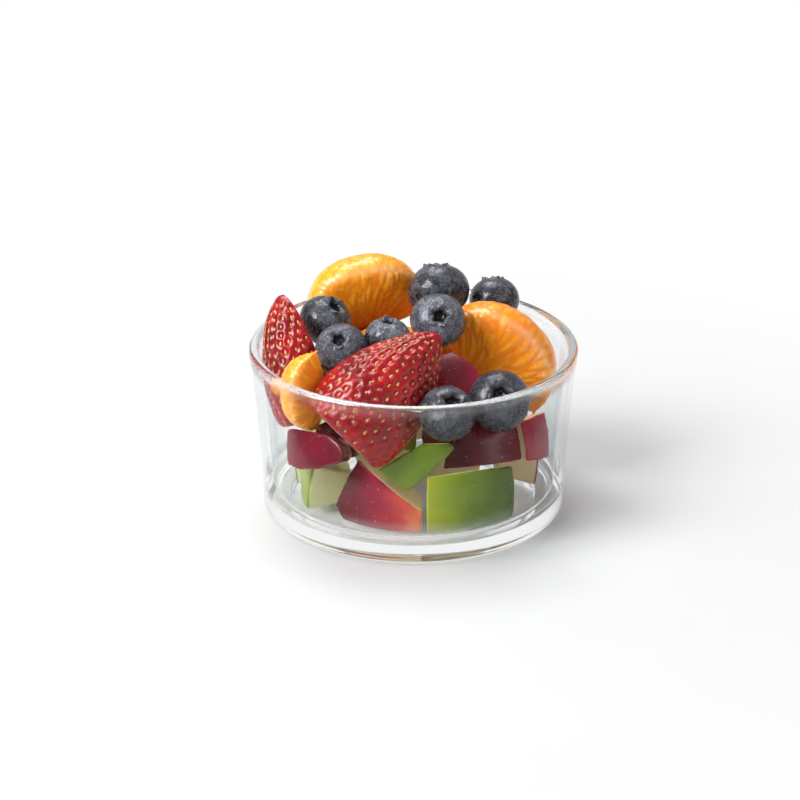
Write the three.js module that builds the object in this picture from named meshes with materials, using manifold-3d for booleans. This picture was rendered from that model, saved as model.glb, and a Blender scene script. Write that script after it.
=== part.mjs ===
// A glass cup heaped with cut fruit: strawberry halves, mandarin segments, blueberries and chunks of
// red and green apple. Millimetres, +Z up, the origin at the centre of the glass's foot.
// Every piece is one closed solid, laid by its place and three angles in degrees: a turn about the
// upright, a tilt, and a roll about the piece's own length.
import * as THREE from "three";
import { mergeVertices } from "three/addons/utils/BufferGeometryUtils.js";
import Module from "manifold-3d";

const wasm = await Module();
wasm.setup();

// The glass cup.
const RIM_RADIUS = 47.5;
const CUP_HEIGHT = 50;
const WAIST_RADIUS = 44; // outside, just above the foot
const FLARE_POWER = 1.5; // how late the wall starts to flare
const WALL = 3;
const FLOOR = 4.5;
const FLOOR_CORNER = 5; // fillet between the floor and the wall, inside
const FOOT_CORNER = 2.5; // rounding under the wall, outside
const PUNT_RADIUS = 35; // the shallow hollow under the foot
const PUNT_DEPTH = 0.7;
const CUP_STEPS = 48;

// The fruit.
const BERRY_SQUASH = 0.9; // a blueberry's height over its width
const BERRY_RINGS = [150, 122, 98, 76, 54, 36]; // degrees from the crown
const BERRY_COLUMNS = 15; // three to each of the crown's five lobes
const STRAWBERRY_COLUMNS = 16;
const CUT_COLUMNS = 3; // of those, the ones that lie on the cut face
const STRAWBERRY_ROWS = 15;
const PIT_DEPTH = 0.45; // how deep a strawberry's seeds sit
const SEGMENT_COLUMNS = 14;
const SEGMENT_ROWS = 12;
const APPLE_RADIUS = 37;
const APPLE_FACETS = 7;
const APPLE_TAPER = 0.64; // a chunk's inner end over its skin end

const COLOURS = {
  glass: { color: 0xf2f6f6, roughness: 0.02, metalness: 0, transparent: true, opacity: 0.3 },
  strawberry: { color: 0xb01218, roughness: 0.3, metalness: 0 },
  mandarin: { color: 0xf6930f, roughness: 0.35, metalness: 0 },
  blueberry: { color: 0x2c2f42, roughness: 0.45, metalness: 0 },
  red_apple: { color: 0x7a1622, roughness: 0.3, metalness: 0 },
  green_apple: { color: 0x7f9a2b, roughness: 0.3, metalness: 0 },
};

// A closed surface from rings of points, each ring with as many points, and a pole at each end. The
// rings run anticlockwise as seen from beyond the last pole.
function ringed(firstPole, rings, lastPole) {
  const columns = rings[0].length;
  const points = [firstPole, ...rings.flat(), lastPole];
  const last = points.length - 1;
  const at = (ring, column) => 1 + ring * columns + (column % columns);
  const index = [];
  for (let j = 0; j < columns; j++) {
    index.push(0, at(0, j + 1), at(0, j));
    for (let i = 0; i < rings.length - 1; i++) {
      index.push(at(i, j), at(i, j + 1), at(i + 1, j + 1));
      index.push(at(i, j), at(i + 1, j + 1), at(i + 1, j));
    }
    index.push(last, at(rings.length - 1, j), at(rings.length - 1, j + 1));
  }
  const geometry = new THREE.BufferGeometry().setFromPoints(points);
  geometry.setIndex(index);
  geometry.computeVertexNormals();
  return geometry;
}

function toSolid(geometry) {
  const bare = geometry.clone();
  bare.deleteAttribute("normal");
  bare.deleteAttribute("uv");
  const merged = mergeVertices(bare, 1e-4);
  return new wasm.Manifold(
    new wasm.Mesh({
      numProp: 3,
      vertProperties: merged.attributes.position.array,
      triVerts: new Uint32Array(merged.index.array),
    }),
  );
}

function toGeometry(solid) {
  const mesh = solid.getMesh();
  const geometry = new THREE.BufferGeometry();
  geometry.setAttribute("position", new THREE.BufferAttribute(mesh.vertProperties, 3));
  geometry.setIndex(new THREE.BufferAttribute(mesh.triVerts, 1));
  geometry.computeVertexNormals();
  return geometry;
}

// The outside of the glass: nearly upright above the foot, then flaring to the rim.
function outerRadius(z) {
  return WAIST_RADIUS + (RIM_RADIUS - WAIST_RADIUS) * (z / CUP_HEIGHT) ** FLARE_POWER;
}

// The glass: a straight-sided bowl with a thick floor and a rounded rim, turned from one profile.
function glassCup() {
  const profile = [];
  const add = (radius, z) => profile.push(new THREE.Vector2(radius, z));
  const arc = (cx, cz, radius, from, to, steps) => {
    for (let i = 0; i <= steps; i++) {
      const angle = THREE.MathUtils.degToRad(from + ((to - from) * i) / steps);
      add(cx + radius * Math.cos(angle), cz + radius * Math.sin(angle));
    }
  };
  add(0, PUNT_DEPTH);
  add(PUNT_RADIUS, PUNT_DEPTH);
  add(PUNT_RADIUS + 2 * PUNT_DEPTH, 0);
  arc(outerRadius(FOOT_CORNER) - FOOT_CORNER, FOOT_CORNER, FOOT_CORNER, -90, 0, 2);
  for (const share of [0.36, 0.68]) {
    const z = share * CUP_HEIGHT;
    add(outerRadius(z), z);
  }
  arc(RIM_RADIUS - WALL / 2, CUP_HEIGHT - WALL / 2, WALL / 2, 0, 180, 6);
  for (const share of [0.68, 0.36]) {
    const z = share * CUP_HEIGHT;
    add(outerRadius(z) - WALL, z);
  }
  const corner = FLOOR + FLOOR_CORNER;
  arc(outerRadius(corner) - WALL - FLOOR_CORNER, corner, FLOOR_CORNER, 0, -90, 3);
  add(0, FLOOR);
  const cup = new THREE.LatheGeometry(profile, CUP_STEPS);
  cup.rotateX(Math.PI / 2);
  return cup;
}

// A blueberry, crown up: a flattened ball with a five-lobed crown round a small pit.
function blueberry(diameter) {
  const a = diameter / 2;
  const h = a * BERRY_SQUASH;
  const ring = (radius, height, lobe = 0) =>
    Array.from({ length: BERRY_COLUMNS }, (_, j) => {
      const angle = (2 * Math.PI * j) / BERRY_COLUMNS;
      const tip = j % 3 === 0 ? lobe : 0;
      const r = a * (radius + tip);
      return new THREE.Vector3(r * Math.cos(angle), r * Math.sin(angle), h * (height + tip));
    });
  const ball = BERRY_RINGS.map((polar) => {
    const angle = THREE.MathUtils.degToRad(polar);
    return ring(Math.sin(angle), Math.cos(angle));
  });
  const crown = [ring(0.44, 0.9), ring(0.38, 0.93, 0.12)];
  const pit = [ring(0.27, 0.84), ring(0.2, 0.66)];
  const bottom = new THREE.Vector3(0, 0, -h);
  return ringed(bottom, [...ball, ...crown, ...pit], new THREE.Vector3(0, 0, 0.64 * h));
}

// Half width of a strawberry, as a share of its widest, from the cut shoulder at 0 to the tip at 1. A
// smaller taper gives a blunter tip.
function strawberryProfile(t, taper) {
  const curve = (u) => (u + 0.15) ** 0.35 * (1 - u) ** taper;
  return curve(t) / curve((0.35 - 0.15 * taper) / (0.35 + taper));
}

// Half a strawberry, hulled and cut lengthwise. It points along +Y, the cut face lies on z = 0 and the
// skin bulges to +Z, pitted where the seeds sit.
function strawberryHalf(length, width, depth, taper) {
  const skin = STRAWBERRY_COLUMNS - CUT_COLUMNS;
  const section = (t, share, row) =>
    Array.from({ length: STRAWBERRY_COLUMNS }, (_, j) => {
      const radius = strawberryProfile(t, taper) * share;
      const y = (t - 0.5) * length;
      if (j > skin) {
        const back = (j - skin) / CUT_COLUMNS;
        return new THREE.Vector3((1 - 2 * back) * radius * (-width / 2), y, 0);
      }
      const angle = (Math.PI * j) / skin;
      const pitted = row > 0 && j > 0 && j < skin && (j + row) % 2 === 1;
      const sink = pitted ? PIT_DEPTH : 0;
      const x = (radius * width) / 2 - sink;
      const z = radius * depth - sink;
      return new THREE.Vector3(x * Math.cos(angle), y, z * Math.sin(angle));
    }).reverse();
  const shoulders = [section(0, 0.9, 0), section(0.02, 1, 0)];
  const rows = Array.from({ length: STRAWBERRY_ROWS - 1 }, (_, i) => {
    const t = (i + 1) / STRAWBERRY_ROWS;
    return section((t * (3 - t)) / 2, 1, i + 1); // closer together towards the tip
  });
  const hull = new THREE.Vector3(0, -length / 2, depth * 0.3);
  return ringed(hull, [...shoulders, ...rows], new THREE.Vector3(0, length / 2, 0.2));
}

// A peeled mandarin segment: a half moon along Y with its thin inner edge at -Z, its round back at +Z
// and its two broad sides facing +X and -X.
function mandarinSegment(length, depth, thickness) {
  const rings = [];
  for (let i = 1; i < SEGMENT_ROWS; i++) {
    const s = -Math.cos((Math.PI * i) / SEGMENT_ROWS);
    const bow = Math.abs(s);
    const inner = depth * (-0.5 + 0.16 * bow ** 2);
    const back = depth * (-0.4 + 0.9 * (1 - bow ** 2.3) ** (1 / 2.3));
    const swell = (1 - bow ** 2.6) ** 0.5;
    const ring = Array.from({ length: SEGMENT_COLUMNS }, (_, j) => {
      const angle = (2 * Math.PI * j) / SEGMENT_COLUMNS;
      const share = (1 - Math.cos(angle)) / 2; // 0 on the inner edge, 1 on the back
      const side = Math.sign(Math.sin(angle)) * 1.3 * (share ** 0.8 * (1 - share ** 5)) ** 0.5;
      const x = ((side * thickness) / 2) * swell * (0.55 + 0.45 * share);
      return new THREE.Vector3(x, (s * length) / 2, inner + (back - inner) * share);
    });
    rings.push(ring.reverse());
  }
  const end = depth * -0.36;
  return ringed(new THREE.Vector3(0, -length / 2, end), rings, new THREE.Vector3(0, length / 2, end));
}

// A chunk of apple as a knife leaves it: the ball of the apple inside flat cuts that close in towards
// the core. The outline is drawn on the skin, seen from outside, and the skin's middle is the origin.
function appleChunk(outline, thick) {
  const ball = new THREE.IcosahedronGeometry(APPLE_RADIUS, APPLE_FACETS);
  const apple = toSolid(ball).translate([0, 0, -APPLE_RADIUS]);
  const reach = 6; // how far the cuts start above the skin
  const wide = 1 + ((1 - APPLE_TAPER) * reach) / thick;
  const inside = outline.map(([x, y]) => new THREE.Vector3(x * APPLE_TAPER, y * APPLE_TAPER, -thick));
  const outside = outline.map(([x, y]) => new THREE.Vector3(x * wide, y * wide, reach));
  const middle = (points) =>
    points.reduce((sum, p) => sum.add(p), new THREE.Vector3()).divideScalar(points.length);
  const cuts = toSolid(ringed(middle(inside), [inside, outside], middle(outside)));
  return toGeometry(apple.intersect(cuts));
}

function block(width, height) {
  const [x, y] = [width / 2, height / 2];
  return [[-x, -y], [x, -y], [x, y], [-x, y]];
}

const fruitCup = new THREE.Group();

function add(name, geometry, finish, at = [0, 0, 0], turn = 0, tilt = 0, roll = 0) {
  const mesh = new THREE.Mesh(geometry, new THREE.MeshStandardMaterial(COLOURS[finish]));
  const [x, y, z] = [tilt, roll, turn].map(THREE.MathUtils.degToRad);
  mesh.name = name;
  mesh.position.set(...at);
  mesh.rotation.set(x, y, z, "ZXY");
  fruitCup.add(mesh);
}

add("glass_cup", glassCup(), "glass");

// Blueberries: diameter, place, and the crown's turn and tilt.
const BERRIES = [
  [18, [7.4, 20, 58], 20, -18],
  [15, [24, 24.5, 53.5], 10, -22],
  [16, [7, 1.7, 56.1], 5, 55],
  [15.4, [-25.5, 9, 53], 60, 35],
  [15.2, [-20.6, -9.7, 51.6], -10, 40],
  [13.2, [-7.4, -5, 53.4], 40, 5],
  [16, [9.2, -32.1, 41.4], 20, 35],
  [17.6, [24, -24.5, 42.5], 0, 50],
  [15, [11, 32.5, 30], 160, 60],
  [12.6, [29.8, 18, 28.4], 120, 50],
  [14, [-31, 15, 30], -120, 60],
];
BERRIES.forEach(([diameter, at, turn, tilt], i) =>
  add(`blueberry_${i + 1}`, blueberry(diameter), "blueberry", at, turn, tilt),
);

// Strawberry halves: length, width, depth from the cut to the skin, taper, place, turn, tilt and roll.
const STRAWBERRIES = [
  [40, 30, 12.5, 0.72, [-6.5, -20.8, 45.6], -64, 40, 56],
  [37, 23, 11.5, 0.6, [-33.35, 0.45, 45.4], 37.5, 65.5, -91.4],
  [33, 24.4, 13, 0.8, [-17, 22, 34], 90, 5, 80],
];
STRAWBERRIES.forEach(([length, width, depth, taper, at, ...aim], i) =>
  add(`strawberry_${i + 1}`, strawberryHalf(length, width, depth, taper), "strawberry", at, ...aim),
);

// Mandarin segments: length, depth from inner edge to back, thickness, place, turn, tilt and roll.
const SEGMENTS = [
  [37, 23, 15, [-14.5, 27, 55.3], -76, 5, 0],
  [39.5, 24, 15.5, [26.9, 9.3, 43.5], -94, -44, 0],
  [23.8, 13, 9.9, [-31.1, -20.3, 43], -117, -89, 131],
  [34, 18, 16, [-7, 7, 42.5], -90, 0, 0],
  [30, 18, 14, [15, 23, 39], -85, 0, 0],
];
SEGMENTS.forEach(([length, depth, thickness, at, ...aim], i) =>
  add(`mandarin_${i + 1}`, mandarinSegment(length, depth, thickness), "mandarin", at, ...aim),
);

// Apple chunks: outline on the skin, thickness, place of the skin's middle, and the skin's turn and tilt.
const RED_CHUNKS = [
  [
    [[-16, 2], [-10, -8], [-3, -7], [5, -4], [13.5, 0.8], [13.5, 3.5], [11, 6], [6, 7], [-13, 3.2]],
    9, [-30, -26, 27.6], -51, 72,
  ],
  [[[-12, -9.3], [14.4, -9.3], [14.4, -1.8], [-7, 11.8], [-14.8, -5]], 13, [-11, -31.2, 14.1], -23, 86],
  [[[-14.8, -6.6], [11, -7.4], [11, 7], [-5, 7], [-13.6, -3.5]], 12, [20.8, -24.9, 30.3], 20, 60],
  [[[-8, -8], [8, -8], [8, 3], [0, 9], [-8, 6]], 10, [11, -14, 45.5], 0, 41],
  [[[-6, -9.5], [6, -12.5], [6, 2.5], [-6, 3.5]], 10, [35.3, -12, 29], 52, 74],
  [block(20, 17), 13, [36.5, 7.5, 13.5], 98, 90],
  [block(21, 17), 13, [-1, 38.6, 13.5], 180, 90],
  [block(20, 21), 13, [12, 5.5, 20], 0, 0],
  [[[-10, -4.5], [6.5, -4.5], [6.5, 4.5], [-6, 4.8], [-10, 2.4]], 7, [-21.5, -17.5, 27.5], -35, 60],
];
const GREEN_CHUNKS = [
  [[[-7, -10], [7, -10], [7, 4.6], [-7, 6]], 13, [-31.6, -12, 14.95], -80, 78],
  [[[-3, -9], [11.6, 5.5], [10.2, 7.2], [1, 6.5], [-13.6, -3]], 7, [1.1, -32, 25.7], -6, 82],
  [[[-17.6, -9.5], [14.4, -9.5], [14.4, 9.4], [-17.6, 11.4]], 8, [18.4, -32.5, 14.2], 25, 88],
  [block(22, 18), 13, [24.8, 30, 14], 140, 90],
  [block(22, 18), 13, [-25, 29.8, 14], -138, 90],
  [block(18, 13), 13, [-34, 8, 11.5], -102, 90],
  [block(20, 24), 14, [-8.5, 4, 22], 0, 0],
  [block(22, 20), 10, [-7.8, 4, 33], 0, 0],
  [block(18, 15), 11, [12.2, -3, 34], 0, 0],
];
for (const [finish, chunks] of [["red_apple", RED_CHUNKS], ["green_apple", GREEN_CHUNKS]]) {
  chunks.forEach(([outline, thick, at, turn, tilt], i) =>
    add(`${finish}_${i + 1}`, appleChunk(outline, thick), finish, at, turn, tilt),
  );
}

export default fruitCup;
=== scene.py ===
"""A low glass cup heaped with cut fruit: the fine surface and finish of every piece.

Every size is in metres unless its name or its property says millimetres. +Z is up and -Y faces the camera.
"""

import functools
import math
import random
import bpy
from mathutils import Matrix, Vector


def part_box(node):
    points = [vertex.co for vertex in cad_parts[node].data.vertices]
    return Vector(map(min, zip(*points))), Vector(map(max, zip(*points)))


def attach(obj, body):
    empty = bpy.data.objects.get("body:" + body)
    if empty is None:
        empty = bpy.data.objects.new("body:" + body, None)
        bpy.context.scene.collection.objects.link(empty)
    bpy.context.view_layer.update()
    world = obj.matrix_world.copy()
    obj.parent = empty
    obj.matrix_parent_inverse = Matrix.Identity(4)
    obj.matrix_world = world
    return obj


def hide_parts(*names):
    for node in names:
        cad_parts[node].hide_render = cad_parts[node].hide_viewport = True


bl_info = {
    "name": "Fruit Cup",
    "version": (1, 0, 0),
    "blender": (4, 5, 0),
    "location": "View3D > Sidebar > Fruit Cup",
    "description": "Dresses the glass cup and its strawberries, mandarins, blueberries and apple chunks",
    "category": "Object",
}

import bmesh
import bpy
import numpy as np
from bpy.props import FloatProperty, FloatVectorProperty, IntProperty, PointerProperty
from mathutils import Matrix, Vector, kdtree, noise

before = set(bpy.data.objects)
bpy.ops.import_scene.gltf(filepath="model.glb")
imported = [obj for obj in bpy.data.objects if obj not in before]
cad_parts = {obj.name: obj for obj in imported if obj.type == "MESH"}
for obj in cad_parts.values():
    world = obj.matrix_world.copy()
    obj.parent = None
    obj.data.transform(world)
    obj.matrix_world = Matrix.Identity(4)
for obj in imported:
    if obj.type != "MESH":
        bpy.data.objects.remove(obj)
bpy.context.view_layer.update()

MM = 0.001
GLASS_IOR = 1.5
FRUIT_IOR = 1.42

# The blueberries: node, diameter in millimetres, the crown's turn and tilt, and how dusty the skin is.
BLUEBERRIES = [
    ("blueberry_1", 18, 20, -18, 0.45),
    ("blueberry_2", 15, 10, -22, 0.6),
    ("blueberry_3", 16, 5, 55, 0.95),
    ("blueberry_4", 15.4, 60, 35, 0.55),
    ("blueberry_5", 15.2, -10, 40, 0.8),
    ("blueberry_6", 13.2, 40, 5, 1.0),
    ("blueberry_7", 16, 20, 35, 0.4),
    ("blueberry_8", 17.6, 0, 50, 0.3),
    ("blueberry_9", 15, 160, 60, 0.7),
    ("blueberry_10", 12.6, 120, 50, 0.7),
    ("blueberry_11", 14, -120, 60, 0.6),
]

# The strawberry halves: node, length, width and depth in millimetres, how little the tip is blunted,
# then turn, tilt and roll.
STRAWBERRIES = [
    ("strawberry_1", 40, 30, 12.5, 0.72, -64, 40, 56),
    ("strawberry_2", 37, 23, 11.5, 0.6, 37.5, 65.5, -91.4),
    ("strawberry_3", 33, 24.4, 13, 0.8, 90, 5, 80),
]

# The mandarin segments: node, length, depth and thickness in millimetres, turn, tilt and roll, and how
# deep the orange is.
MANDARINS = [
    ("mandarin_1", 37, 23, 15, -76, 5, 0, 0.0),
    ("mandarin_2", 39.5, 24, 15.5, -94, -44, 0, 0.6),
    ("mandarin_3", 23.8, 13, 9.9, -117, -89, 131, 0.1),
    ("mandarin_4", 34, 18, 16, -90, 0, 0, 0.35),
    ("mandarin_5", 30, 18, 14, -85, 0, 0, 0.5),
]

# The apple chunks: node, the skin's turn and tilt, and how far the skin has ripened at its left and at its
# right end as the camera sees them; the ends' tones are partly real ripening and partly painted light and
# shade.
APPLES = [
    ("red_apple_1", -51, 72, 0.35, 0.2),
    ("red_apple_2", -23, 86, 0.1, 1.0),
    ("red_apple_3", 20, 60, 0.05, 0.2),
    ("red_apple_4", 0, 41, 0.2, 0.5),
    ("red_apple_5", 52, 74, 0.6, 0.5),
    ("red_apple_6", 98, 90, 0.5, 0.5),
    ("red_apple_7", 180, 90, 0.6, 0.2),
    ("red_apple_8", 0, 0, 0.3, 0.5),
    ("red_apple_9", -35, 60, 0.2, 0.2),
    ("green_apple_1", -80, 66, 0.7, 0.8),
    ("green_apple_2", -6, 82, 0.55, 0.3),
    ("green_apple_3", 25, 88, 0.95, 0.05),
    ("green_apple_4", 140, 90, 0.3, 0.7),
    ("green_apple_5", -138, 90, 0.7, 0.4),
    ("green_apple_6", -102, 90, 0.5, 0.6),
    ("green_apple_7", 0, 0, 0.5, 0.5),
    ("green_apple_8", 0, 0, 0.5, 0.5),
    ("green_apple_9", 0, 0, 0.5, 0.5),
]

# The camera, as the photograph was taken.
CAMERA_PLACE = (-0.0039, -0.7342, 0.3497)
CAMERA_DOWN = 23.4  # degrees below the horizon
CAMERA_LENS = 123.75  # on a 36 mm sensor


# Shapes


def laid(turn, tilt, roll=0):
    """A piece's turn about the upright, after its tilt, after its roll about its own length, in degrees."""
    return (
        Matrix.Rotation(math.radians(turn), 4, "Z")
        @ Matrix.Rotation(math.radians(tilt), 4, "X")
        @ Matrix.Rotation(math.radians(roll), 4, "Y")
    )


def middle(low, high):
    return (Vector(low) + Vector(high)) / 2


def settle(bm, node, turning):
    """Lays the shape as the node lies, with the middle of its box where the node's is."""
    bmesh.ops.transform(bm, matrix=turning, verts=bm.verts)
    places = np.array([v.co for v in bm.verts])
    move = middle(*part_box(node)) - middle(places.min(0), places.max(0))
    bmesh.ops.translate(bm, vec=move, verts=bm.verts)


@functools.cache
def plain_ball(columns, rows):
    """A ball that many pieces start from, made once, because a fine one takes seconds."""
    bm = bmesh.new()
    bmesh.ops.create_uvsphere(bm, u_segments=columns, v_segments=rows, radius=1)
    return bm


def wrapped_ball(columns, rows, place, layer_names):
    """A closed shape: a ball whose points move to place(down, around), which both run from 0 to 1."""
    bm = plain_ball(columns, rows).copy()
    layers = [bm.verts.layers.float.new(name) for name in layer_names]
    spots = {}
    for v in bm.verts:
        down = math.acos(max(-1, min(1, v.co.z))) / math.pi
        around = round(math.atan2(v.co.y, v.co.x) / (2 * math.pi) * columns) % columns / columns
        spots[v] = (down, around)
    for v, (down, around) in spots.items():
        v.co = place(down, around)
    bmesh.ops.recalc_face_normals(bm, faces=bm.faces)
    bm.normal_update()
    return bm, spots, layers


def smooth_step(low, high, value):
    share = max(0, min(1, (value - low) / (high - low)))
    return share * share * (3 - 2 * share)


def smoothed(bm, verts):
    bmesh.ops.smooth_vert(
        bm, verts=verts, factor=0.5, use_axis_x=True, use_axis_y=True, use_axis_z=True,
    )


def paint(bm, name, value):
    """Gives every point of the shape the same value of an attribute."""
    layer = bm.verts.layers.float.new(name)
    for v in bm.verts:
        v[layer] = value


def placed(bm, name, materials=()):
    """The shape as an object of the scene, with its materials."""
    mesh = bpy.data.meshes.new(name)
    bm.to_mesh(mesh)
    bm.free()
    for material in materials:
        mesh.materials.append(material)
    made = bpy.data.objects.new(name, mesh)
    bpy.context.scene.collection.objects.link(made)
    return made


def finished(bm, node, materials):
    """Makes the shape a smooth piece that stands for the node."""
    bmesh.ops.recalc_face_normals(bm, faces=bm.faces)
    piece = placed(bm, f"{node}_fine", materials)
    piece.data.shade_smooth()
    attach(piece, "root")
    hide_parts(node)
    return piece


# Shader parts


def set_values(shader, values):
    for name, value in values.items():
        shader.inputs[name].default_value = value


def blank_material(name):
    """A material with only its shader and output, and the shader's plain values still to be set."""
    material = bpy.data.materials.new(name)
    material.use_nodes = True
    tree = material.node_tree
    return material, tree, tree.nodes["Principled BSDF"]


def add_node(tree, kind, links=None, **settings):
    """A shader node with its settings, and its inputs linked or set."""
    made = tree.nodes.new("ShaderNode" + kind)
    for name, value in settings.items():
        setattr(made, name, value)
    for name, value in (links or {}).items():
        if isinstance(value, bpy.types.NodeSocket):
            tree.links.new(value, made.inputs[name])
        else:
            made.inputs[name].default_value = value
    return made


def attribute(tree, name):
    return add_node(tree, "Attribute", attribute_name=name).outputs["Fac"]


def object_place(tree):
    return add_node(tree, "TexCoord").outputs["Object"]


def grain(tree, place, per_mm, detail=3, roughness=0.6):
    """Noise from 0 to 1 with its coarsest lumps 1 / per_mm millimetres apart."""
    links = {"Vector": place, "Scale": per_mm / MM, "Detail": detail, "Roughness": roughness}
    return add_node(tree, "TexNoise", links).outputs["Fac"]


def ramp(tree, factor, stops):
    """A colour for each value of factor, from a list of (position, colour)."""
    made = add_node(tree, "ValToRGB", {"Fac": factor})
    elements = made.color_ramp.elements
    while len(elements) < len(stops):
        elements.new(0.5)
    for element, (position, colour) in zip(elements, stops):
        element.position = position
        element.color = (*colour, 1)
    return made.outputs["Color"]


def spread(tree, value, from_low, from_high, to_low=0, to_high=1):
    """The value moved from one range to another and held inside it."""
    links = {"Value": value, "From Min": from_low, "From Max": from_high, "To Min": to_low, "To Max": to_high}
    return add_node(tree, "MapRange", links, clamp=True).outputs["Result"]


def blend(tree, factor, first, second):
    """The colour between two colours, each a socket or three numbers."""
    ends = [v if isinstance(v, bpy.types.NodeSocket) else (*v, 1) for v in (first, second)]
    return add_node(tree, "Mix", {0: factor, 6: ends[0], 7: ends[1]}, data_type="RGBA").outputs[2]


def maths(tree, operation, first, second):
    return add_node(tree, "Math", {0: first, 1: second}, operation=operation).outputs[0]


def feed(tree, shader, links):
    for name, socket in links.items():
        tree.links.new(socket, shader.inputs[name])


def times(tree, first, second):
    return maths(tree, "MULTIPLY", first, second)


def plus(tree, first, second):
    return maths(tree, "ADD", first, second)


def bumped(tree, height, depth):
    """The normal where height, from 0 to 1, lifts the surface by up to depth millimetres."""
    return add_node(tree, "Bump", {"Height": height, "Distance": depth * MM}).outputs["Normal"]


def mixed(tree, factor, first, second):
    """The output of a mix of two shaders' outputs."""
    return add_node(tree, "MixShader", {0: factor, 1: first, 2: second}).outputs[0]


def show(tree, output):
    """Makes a shader's output the surface of the material."""
    tree.links.new(output, tree.nodes["Material Output"].inputs["Surface"])


def effect_group(name, inputs, outputs):
    """An empty shader node group with named inputs (name, default) and outputs (name, kind)."""
    group = bpy.data.node_groups.new(name, "ShaderNodeTree")
    for label, default in inputs:
        kind = "NodeSocketColor" if isinstance(default, tuple) else "NodeSocketFloat"
        socket = group.interface.new_socket(label, in_out="INPUT", socket_type=kind)
        socket.default_value = default
    for label, kind in outputs:
        group.interface.new_socket(label, in_out="OUTPUT", socket_type=kind)
    return group, group.nodes.new("NodeGroupInput"), group.nodes.new("NodeGroupOutput")


def pale_dots_group():
    """Small pale dots scattered on a skin, each fading at its edge, for every apple skin."""
    inputs = [("Skin Color", (1.0, 1.0, 1.0, 1.0)), ("Dot Color", (1.0, 1.0, 1.0, 1.0)),
              ("Per Millimetre", 0.3), ("Size", 0.08)]
    group, given, result = effect_group("Pale Dots", inputs, [("Color", "NodeSocketColor")])
    scale = times(group, given.outputs["Per Millimetre"], 1 / MM)
    cells = add_node(group, "TexVoronoi", {"Vector": object_place(group), "Scale": scale})
    edge = times(group, given.outputs["Size"], 1.8)
    faded = spread(group, cells.outputs["Distance"], given.outputs["Size"], edge, 1, 0)
    picked = spread(group, cells.outputs["Color"], 0.35, 0.6)
    mask = times(group, faded, picked)
    colour = blend(group, mask, given.outputs["Skin Color"], given.outputs["Dot Color"])
    group.links.new(colour, result.inputs["Color"])
    return group


def wet_lumps_group():
    """The uneven height of a wet cut or peeled fruit, for the strawberries, mandarins and apples."""
    inputs = [("Per Millimetre", 1.0), ("Fine Share", 0.4)]
    group, given, result = effect_group("Wet Lumps", inputs, [("Height", "NodeSocketFloat")])
    place = object_place(group)
    coarse_scale = times(group, given.outputs["Per Millimetre"], 1 / MM)
    fine_scale = times(group, coarse_scale, 4)
    coarse = add_node(group, "TexNoise", {"Vector": place, "Scale": coarse_scale, "Detail": 2})
    fine = add_node(group, "TexNoise", {"Vector": place, "Scale": fine_scale, "Detail": 2})
    part = times(group, fine.outputs["Fac"], given.outputs["Fine Share"])
    group.links.new(plus(group, coarse.outputs["Fac"], part), result.inputs["Height"])
    return group


def effect(tree, group_name, make, values, links=None):
    """The named effect in this material, built on first use."""
    group = bpy.data.node_groups.get(group_name) or make()
    made = add_node(tree, "Group", node_tree=group)
    set_values(made, values)
    for name, socket in (links or {}).items():
        tree.links.new(socket, made.inputs[name])
    return made.outputs[0]


# The glass cup


class GlassSettings(bpy.types.PropertyGroup):
    """The glass cup."""

    rim_radius: FloatProperty(
        name="Rim Radius", description="Outside radius of the rim", unit="LENGTH",
        default=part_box("glass_cup")[1].x,
    )
    height: FloatProperty(
        name="Height", description="Height of the rim above the foot", unit="LENGTH",
        default=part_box("glass_cup")[1].z,
    )
    waist_radius: FloatProperty(
        name="Waist Radius", description="Outside radius just above the foot", unit="LENGTH",
        default=0.044,
    )
    wall: FloatProperty(
        name="Wall", description="Thickness of the wall", unit="LENGTH", default=0.003,
    )
    base: FloatProperty(
        name="Base", description="Thickness of the glass under the fruit", unit="LENGTH", default=0.0045,
    )
    tint: FloatVectorProperty(
        name="Tint", description="Colour of the glass", subtype="COLOR", size=3,
        default=(0.985, 0.995, 0.99),
    )
    clearness: FloatProperty(
        name="Clearness", description="Share of the wall's light that passes straight through", default=0.99,
        min=0, max=1,
    )


FLARE_POWER = 1.5  # how late the wall starts to flare
CUP_FILLET = 5 * MM  # between the base and the wall, inside
CUP_FOOT_CORNER = 2.5 * MM  # under the wall, outside
PUNT_RADIUS = 35 * MM  # the shallow hollow under the foot
PUNT_DEPTH = 0.7 * MM
CUP_COLUMNS = 192
CUP_WALL_ROWS = 12
# The wall's faint upright streaks are painted shade: grey bands where the wall is seen edge-on, standing in
# for dark surroundings seen through it.
STREAKS_PER_METRE = (160, 160, 14)  # how closely the wall's faint upright streaks follow each other
MOST_CROSSINGS = 2.5  # how often light crosses the glass before it turns into the white surround


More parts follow.
